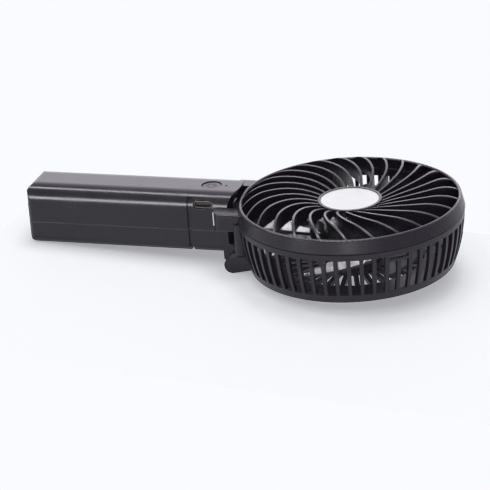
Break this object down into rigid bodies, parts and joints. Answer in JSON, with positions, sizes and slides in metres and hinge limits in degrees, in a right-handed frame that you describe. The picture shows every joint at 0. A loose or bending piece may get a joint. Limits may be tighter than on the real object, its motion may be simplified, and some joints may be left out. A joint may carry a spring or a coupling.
{
  "type": "handheld fan",
  "caption": "Rechargeable folding handheld fan with a round caged head, a domed swirl grille, a bare hub disc and a box-section grip hinged behind the head.",
  "frame": {"origin": "centre of the head's rear face, on the impeller's axis", "axes": "+X from the handle to the head, +Y across the handle, +Z out of the grille"},
  "size_m": [0.2059, 0.1044, 0.0357],
  "materials": {
    "shell": "semi-gloss",
    "grille_black": "semi-gloss",
    "cage_black": "semi-gloss",
    "impeller_black": "gloss",
    "button_black": "satin",
    "inner_black": "matte",
    "switch_black": "matte",
    "disc_white": "smooth",
    "led_clear": "smoked",
    "washer_nylon": "matte",
    "port_steel": "satin",
    "leaf_steel": "polished",
    "screw_steel": "satin",
    "motor_steel": "satin",
    "magnet": "matte",
    "copper": "satin",
    "bush_bronze": "satin",
    "nickel": "satin",
    "board": "matte",
    "cell_wrap": "satin"
  },
  "bodies": {
    "handle": {"handle_upper_shell": "shell", "handle_lower_shell": "shell", "battery_cell": "cell_wrap", "battery_contacts": "nickel", "circuit_board": "board", "usb_c_socket": "port_steel", "usb_c_tongue": "inner_black", "tact_switch": "switch_black", "status_led": "led_clear", "shell_screws": "screw_steel", "detent_leaves": "leaf_steel", "friction_washers": "washer_nylon"},
    "button": {"power_button": "button_black"},
    "head": {"front_grille": "grille_black", "hub_disc": "disc_white", "rear_cage": "cage_black", "ear_screws": "screw_steel", "hinge_pin": "screw_steel", "motor_can": "motor_steel", "motor_end_bell": "inner_black", "motor_bushes": "bush_bronze", "motor_magnets": "magnet", "motor_screws": "screw_steel"},
    "impeller": {"impeller": "impeller_black", "motor_shaft": "screw_steel", "motor_armature": "copper"}
  },
  "joints": [
    {"name": "head_fold", "type": "hinge", "parent": "handle", "child": "head", "pos_m": [-0.0522, 0, 0.0028], "axis": [0, 1, 0], "range_deg": [0, 180]},
    {"name": "impeller_spin", "type": "hinge", "parent": "head", "child": "impeller", "pos_m": [0, 0, 0.012], "axis": [0, 0, 1], "continuous": true},
    {"name": "button_press", "type": "slide", "parent": "handle", "child": "button", "axis": [0, 0, -1], "range_m": [0, 0.0006], "stiffness_N_per_m": 1500}
  ]
}
